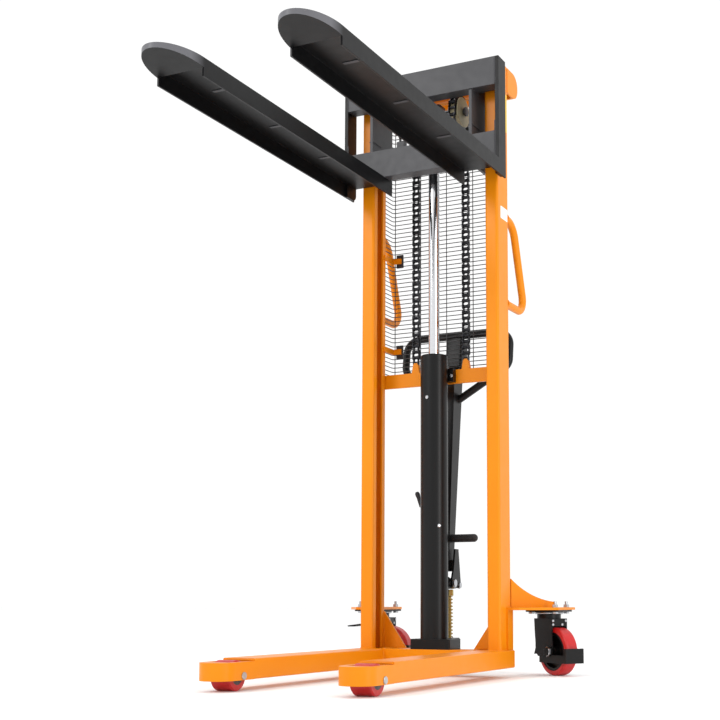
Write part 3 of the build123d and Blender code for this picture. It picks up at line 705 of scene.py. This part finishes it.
def link(name, pitch, high, spread, thick, round_radius, round_half):
    """Two plates side by side across X, with a pin or roller through each end."""
    build = bmesh.new()
    outline = plate_outline(pitch, high, high * 0.72)
    for side_x in (-spread, spread):
        loops = [
            [build.verts.new((side_x + off, y, z)) for y, z in outline]
            for off in (-thick / 2, thick / 2)
        ]
        build.faces.new(loops[0][::-1])
        build.faces.new(loops[1])
        for i in range(len(outline)):
            j = (i + 1) % len(outline)
            build.faces.new((loops[0][i], loops[0][j], loops[1][j], loops[1][i]))
    for end in (-1, 1):
        bmesh.ops.create_cone(
            build,
            cap_ends=True,
            segments=10,
            radius1=round_radius,
            radius2=round_radius,
            depth=2 * round_half,
            matrix=Matrix.Translation((0, 0, end * pitch / 2))
            @ Matrix.Rotation(math.pi / 2, 4, "Y"),
        )
    bmesh.ops.recalc_face_normals(build, faces=build.faces)
    mesh = bpy.data.meshes.new(name)
    build.to_mesh(mesh)
    build.free()
    made = bpy.data.objects.new(name, mesh)
    bpy.context.scene.collection.objects.link(made)
    return made


chain_tree, given = new_tree(
    "roller_chain", {"Pitch": "Float", "Outer Link": "Object", "Inner Link": "Object"}
)
line = add(chain_tree, "GeometryNodeMeshToCurve", {"Mesh": given["Geometry"]})
spaced = add(
    chain_tree,
    "GeometryNodeResampleCurve",
    {"Curve": line.outputs["Curve"], "Length": given["Pitch"]},
    mode="LENGTH",
)
runs = add(chain_tree, "GeometryNodeCurveToMesh", {"Curve": spaced.outputs["Curve"]})
ends = add(chain_tree, "GeometryNodeInputMeshEdgeVertices")
along = add(
    chain_tree,
    "ShaderNodeVectorMath",
    {0: ends.outputs["Position 2"], 1: ends.outputs["Position 1"]},
    operation="SUBTRACT",
)
noted = add(
    chain_tree,
    "GeometryNodeStoreNamedAttribute",
    {"Geometry": runs.outputs["Mesh"], "Name": "along", "Value": along.outputs["Vector"]},
    data_type="FLOAT_VECTOR",
    domain="EDGE",
)
middles = add(
    chain_tree, "GeometryNodeMeshToPoints", {"Mesh": noted.outputs["Geometry"]}, mode="EDGES"
)
read = add(
    chain_tree, "GeometryNodeInputNamedAttribute", {"Name": "along"}, data_type="FLOAT_VECTOR"
)
upright_turn = add(
    chain_tree,
    "FunctionNodeAlignRotationToVector",
    {"Vector": read.outputs["Attribute"]},
    axis="Z",
)
turn = add(
    chain_tree,
    "FunctionNodeAlignRotationToVector",
    {"Rotation": upright_turn.outputs["Rotation"], "Vector": (1, 0, 0)},
    axis="X",
    pivot_axis="Z",
)
number = add(chain_tree, "GeometryNodeInputIndex")
odd = add(
    chain_tree, "ShaderNodeMath", {0: number.outputs["Index"], 1: 2.0}, operation="MODULO"
)
even = add(chain_tree, "ShaderNodeMath", {0: 1.0, 1: odd.outputs["Value"]}, operation="SUBTRACT")
joined = add(chain_tree, "GeometryNodeJoinGeometry")
for socket, chosen in (("Outer Link", odd), ("Inner Link", even)):
    shape = add(
        chain_tree, "GeometryNodeObjectInfo", {"Object": given[socket], "As Instance": True}
    )
    placed = add(
        chain_tree,
        "GeometryNodeInstanceOnPoints",
        {
            "Points": middles.outputs["Points"],
            "Selection": chosen.outputs["Value"],
            "Instance": shape.outputs["Geometry"],
            "Rotation": turn.outputs["Rotation"],
        },
    )
    chain_tree.links.new(placed.outputs["Instances"], joined.inputs["Geometry"])
close_tree(chain_tree, joined.outputs["Geometry"], given)

pitch, plate_high = 0.01905, 0.0155
outer_link = link("outer_link_pattern", pitch, plate_high, 0.0108, 0.0024, 0.0031, 0.0132)
inner_link = link("inner_link_pattern", pitch, plate_high, 0.0080, 0.0024, 0.0056, 0.0068)
oiled = plated("oiled_chain_steel", "#3C3C3F", "#1E1E20", 0.34, (180, 180, 180))
chain_sizes = {
    "Pitch": pitch,
    "Outer Link": outer_link,
    "Inner Link": inner_link,
    "Finish": oiled,
}
wheel_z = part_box("chain_wraps")[0].z
for side in SIDES:
    low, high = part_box(f"chain_fixed_{side}")
    x = (low.x + high.x) / 2
    rear_y = (low.y + high.y) / 2
    piece = grow(
        f"rear_chain_{side}",
        paths("strand", [[(x, rear_y, low.z), (x, rear_y, high.z)]]),
        chain_tree,
        chain_sizes,
        None,
    )
    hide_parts(f"chain_fixed_{side}")
    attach(piece, "frame")
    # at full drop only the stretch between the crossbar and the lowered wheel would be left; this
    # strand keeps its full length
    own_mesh(piece)
    low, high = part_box(f"chain_carriage_{side}")
    front_y = (low.y + high.y) / 2
    piece = grow(
        f"front_chain_{side}",
        paths("strand", [[(x, front_y, low.z), (x, front_y, high.z)]]),
        chain_tree,
        chain_sizes,
        None,
    )
    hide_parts(f"chain_carriage_{side}")
    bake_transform(piece)
    radius = (rear_y - front_y) / 2
    half_turn = [
        (
            x,
            mast_y + radius * math.cos(math.pi * i / 32),
            wheel_z + radius * math.sin(math.pi * i / 32),
        )
        for i in range(33)
    ]
    piece = grow(
        f"top_chain_{side}",
        paths("wrap", [half_turn]),
        chain_tree,
        chain_sizes,
        "rod",
    )
    if side == "left":
        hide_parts("chain_wraps")
for pattern_object in (outer_link, inner_link):
    bpy.data.objects.remove(pattern_object)

# ---------------------------------------------------------------- chain wheels
# Cast wheels with turned flanges, primed in cream, on a plain steel axle.

cream, tree, shader, place = surface("cream_primed_casting")
grit = add(tree, "ShaderNodeTexNoise", {"Vector": place, "Scale": 220.0, "Detail": 4.0})
tone = add(tree, "ShaderNodeMix", {0: grit.outputs["Fac"]}, data_type="RGBA")
tone.inputs[6].default_value = linear("#C9BE9A")
tone.inputs[7].default_value = linear("#AFA27E")
relief = add(
    tree, "ShaderNodeBump", {"Strength": 0.6, "Distance": 0.0002, "Height": grit.outputs["Fac"]}
)
tree.links.new(tone.outputs[2], shader.inputs["Base Color"])
tree.links.new(relief.outputs["Normal"], shader.inputs["Normal"])
shader.inputs["Roughness"].default_value = 0.5
finish_nodes(cream, "chain_wheels")

# ---------------------------------------------------------------- wheels and casters
# Cast polyurethane tyres in red, bonded to steel or iron cores. The moulded tread is smooth and
# slightly translucent, and scuffs dull where it rolls.

urethane, tree, shader, place = surface("cast_red_polyurethane")
scuff = add(tree, "ShaderNodeTexNoise", {"Vector": place, "Scale": 70.0, "Detail": 6.0})
tone = add(tree, "ShaderNodeMix", {0: scuff.outputs["Fac"]}, data_type="RGBA")
tone.inputs[6].default_value = linear("#C9181A")
tone.inputs[7].default_value = linear("#A80E10")
gloss = add(tree, "ShaderNodeMapRange", {"Value": scuff.outputs["Fac"]})
gloss.inputs["To Min"].default_value = 0.25
gloss.inputs["To Max"].default_value = 0.5
tree.links.new(tone.outputs[2], shader.inputs["Base Color"])
tree.links.new(gloss.outputs["Result"], shader.inputs["Roughness"])
shader.inputs["Subsurface Weight"].default_value = 0.08
shader.inputs["Subsurface Radius"].default_value = (0.004, 0.001, 0.0005)

finish_nodes(zinc, "load_axles", "caster_bolts", "tiller_pivot_pin", "push_roller", "release_lever")
finish_nodes(enamel, "caster_plates")
joints = {j["name"]: j for j in frame["joints"]}
nut = head("axle_nut_pattern", 0.0275, 0.0095, 6, 0.86)
bolt = head("hood_bolt_pattern", 0.008, 0.003, 12, 0.7)
for side in SIDES:
    finish_nodes(urethane, f"load_tread_{side}", f"caster_tyre_{side}")
    finish_nodes(dark_steel, f"load_core_{side}")
    finish_nodes(enamel, f"caster_core_{side}", f"caster_fork_{side}")
    finish_nodes(enamel, f"caster_guard_{side}", f"caster_brake_{side}")
    axle = joints[f"caster_{side}_spin"]
    swivel = joints[f"caster_{side}_swivel"]
    hub, across = Vector(axle["pos_m"]), Vector(axle["axis"])
    trail = (hub - Vector(swivel["pos_m"])) * Vector((1, 1, 0))
    trail.normalize()
    # the nuts stand over the ends of the axle, just outside the toe guard
    screws(
        f"axle_nuts_{side}",
        [(hub + across * 0.0374, across), (hub - across * 0.0374, -across)],
        nut,
        zinc,
        f"caster_{side}",
    )
    pivot = Vector(swivel["pos_m"]) * Vector((1, 1, 0))
    # the hood's front face is 53 mm along the trail from the swivel
    hood_bolts = [
        (pivot + trail * 0.0528 + across * offset + Vector((0, 0, z)), trail)
        for offset, z in ((-0.025, 0.171), (-0.025, 0.159), (0.011, 0.159), (0.025, 0.171))
    ]
    screws(f"hood_bolts_{side}", hood_bolts, bolt, zinc, f"caster_{side}")
for pattern_object in (nut, bolt, plug):
    bpy.data.objects.remove(pattern_object)

# ---------------------------------------------------------------- swivel races
# A pressed and zinc plated cup closes the ball race under each caster plate.

for side in SIDES:
    pivot = Vector(joints[f"caster_{side}_swivel"]["pos_m"])
    profile = [
        (0.0442, 0.1925),
        (0.0462, 0.1925),
        (0.0475, 0.1945),
        (0.0475, 0.1975),
        (0.0442, 0.1988),
    ]
    turns = 64
    build = bmesh.new()
    loops_of = []
    for i in range(turns):
        a = 2 * math.pi * i / turns
        loops_of.append(
            [
                build.verts.new((pivot.x + r * math.cos(a), pivot.y + r * math.sin(a), z))
                for r, z in profile
            ]
        )
    for i in range(turns):
        here, after = loops_of[i], loops_of[(i + 1) % turns]
        for j in range(len(profile)):
            k = (j + 1) % len(profile)
            build.faces.new((here[j], after[j], after[k], here[k]))
    bmesh.ops.recalc_face_normals(build, faces=build.faces)
    mesh = bpy.data.meshes.new(f"race_cup_{side}")
    build.to_mesh(mesh)
    build.free()
    mesh.polygons.foreach_set("use_smooth", [True] * len(mesh.polygons))
    mesh.materials.append(zinc)
    cup = bpy.data.objects.new(f"race_cup_{side}", mesh)
    bpy.context.scene.collection.objects.link(cup)
    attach(cup, "frame")

# ---------------------------------------------------------------- tiller and pump
# The bent handle and its column are sprayed black. The plunger and its spring are passivated in
# yellow, and the foot peg and the guard's pads are moulded rubber.

passivated = plated("yellow_passivated_zinc", "#BFA763", "#9C8550", 0.34, (140, 140, 140))
finish_nodes(enamel, "tiller_column", "tiller_loop", "control_box")
finish_nodes(passivated, "pump_plunger")

# The return spring is wound from 3 mm wire. The stroke by which it shortens when the plunger is
# down is given below but not used.
coil_low, coil_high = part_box("pump_spring")
wire_half, coil_turns, turn_steps, stroke = 0.0015, 12, 20, 0.0285
coil_x, coil_y = (coil_low.x + coil_high.x) / 2, (coil_low.y + coil_high.y) / 2
coil_radius = (coil_high.x - coil_low.x) / 2 - wire_half
winding = []
for i in range(coil_turns * turn_steps + 1):
    a = 2 * math.pi * i / turn_steps
    rise = (coil_high.z - coil_low.z - 2 * wire_half) * i / (coil_turns * turn_steps)
    winding.append(
        (
            coil_x + coil_radius * math.cos(a),
            coil_y + coil_radius * math.sin(a),
            coil_low.z + wire_half + rise,
        )
    )
coil = grow(
    "return_spring",
    paths("winding", [winding]),
    wire_tree,
    {"Wire Radius": wire_half, "Count": 1, "Step": (0, 0, 0), "Finish": passivated},
    None,
)
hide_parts("pump_spring")
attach(coil, "frame")
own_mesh(coil)

rubber, tree, shader, place = surface("moulded_black_rubber")
grain = add(tree, "ShaderNodeTexNoise", {"Vector": place, "Scale": 400.0, "Detail": 3.0})
relief = add(
    tree, "ShaderNodeBump", {"Strength": 0.5, "Distance": 0.0002, "Height": grain.outputs["Fac"]}
)
wear = add(tree, "ShaderNodeMapRange", {"Value": grain.outputs["Fac"]})
wear.inputs["To Min"].default_value = 0.5
wear.inputs["To Max"].default_value = 0.75
shader.inputs["Base Color"].default_value = linear("#202022")
tree.links.new(relief.outputs["Normal"], shader.inputs["Normal"])
tree.links.new(wear.outputs["Result"], shader.inputs["Roughness"])
finish_nodes(rubber, "foot_bar", "mesh_pads")

# ---------------------------------------------------------------- release grip
# A short dipped sleeve on the end of the bent release rod, with a turned-over lip for a finger.

tip = Vector((-0.090, mast_y + 0.062, 0.580))
direction = Vector((-0.026, 0, 0.075)).normalized()
turn = direction.to_track_quat("Z", "Y")
crown_rise = 0.008
profile = [
    (0.005, 0.007),
    (0.0078, 0.002),
    (0.0078, -0.006),
    (0.0066, -0.010),
    (0.0066, -0.040),
    (0.0072, -0.043),
    (0.0050, -0.044),
]
build = bmesh.new()
turns = 20
angles = [2 * math.pi * i / turns for i in range(turns)]
loops_of = [
    [build.verts.new(tip + turn @ Vector((r * math.cos(a), r * math.sin(a), h))) for a in angles]
    for r, h in profile
]
crown = build.verts.new(tip + direction * crown_rise)
for i in range(turns):
    j = (i + 1) % turns
    build.faces.new((crown, loops_of[0][i], loops_of[0][j]))
    for low, high in zip(loops_of, loops_of[1:]):
        build.faces.new((low[i], high[i], high[j], low[j]))
build.faces.new(loops_of[-1])
bmesh.ops.recalc_face_normals(build, faces=build.faces)
mesh = bpy.data.meshes.new("release_grip")
build.to_mesh(mesh)
build.free()
mesh.polygons.foreach_set("use_smooth", [True] * len(mesh.polygons))
mesh.materials.append(rubber)
grip = bpy.data.objects.new("release_grip", mesh)
bpy.context.scene.collection.objects.link(grip)
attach(grip, "release")
